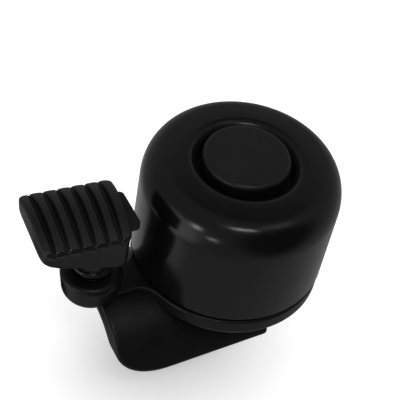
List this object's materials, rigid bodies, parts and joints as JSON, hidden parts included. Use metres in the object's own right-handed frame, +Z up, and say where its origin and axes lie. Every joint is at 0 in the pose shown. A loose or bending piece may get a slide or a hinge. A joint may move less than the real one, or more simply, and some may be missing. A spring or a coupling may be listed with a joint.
{
  "type": "bicycle bell",
  "caption": "Thumb-flick bicycle bell: domed gong with a capped centre on a plastic base, ribbed sprung striker and a screw clamp for a handlebar.",
  "frame": {"origin": "on the handlebar's axis, straight under the gong's axis", "axes": "+X along the handlebar from the striker to the gong, +Y from the thumb's side to the clamp screw's side, +Z up along the gong's axis"},
  "size_m": [0.0562, 0.0396, 0.0531],
  "materials": {
    "gong_paint": "satin black paint on turned metal",
    "black_plastic": "moulded black plastic, fine matte texture",
    "black_rubber": "soft black rubber",
    "steel": "zinc-plated steel",
    "spring_steel": "blackened spring steel wire",
    "aluminium": "turned aluminium",
    "brass": "turned brass"
  },
  "bodies": {
    "root": {"base": "black_plastic", "dome": "gong_paint", "centre_cap": "black_plastic", "cap_retainer": "steel", "dome_screw": "steel", "upper_isolator": "black_rubber", "lower_isolator": "black_rubber", "pillar": "aluminium", "pillar_screw": "steel", "saddle_liner": "black_rubber", "spring_anchor": "black_plastic", "clamp_nut": "brass"},
    "striker": {"striker_block": "black_plastic", "striker_plate": "black_plastic", "striker_stud": "black_plastic", "striker_spring": "spring_steel"},
    "jaw": {"lower_jaw": "black_plastic", "jaw_liner": "black_rubber"},
    "screw": {"clamp_screw": "steel", "clamp_washer": "steel"}
  },
  "joints": [
    {"name": "striker_swing", "type": "hinge", "parent": "root", "child": "striker", "pos_m": [-0.0271, 0, 0.0204], "axis": [0, 1, 0], "range_deg": [-14, 16.5], "stiffness_Nm_per_rad": 0.05, "deforming": ["striker_spring"]},
    {"name": "jaw_travel", "type": "slide", "parent": "root", "child": "jaw", "axis": [0, 0, -1], "range_m": [0, 0.0055]},
    {"name": "clamp_screw_turn", "type": "hinge", "parent": "jaw", "child": "screw", "pos_m": [-0.001, 0.0171, 0], "axis": [0, 0, -1], "range_deg": [0, 3960]}
  ],
  "couplings": [
    {"joint": "clamp_screw_turn", "follows": "jaw_travel", "rad_per_m": 12566}
  ]
}
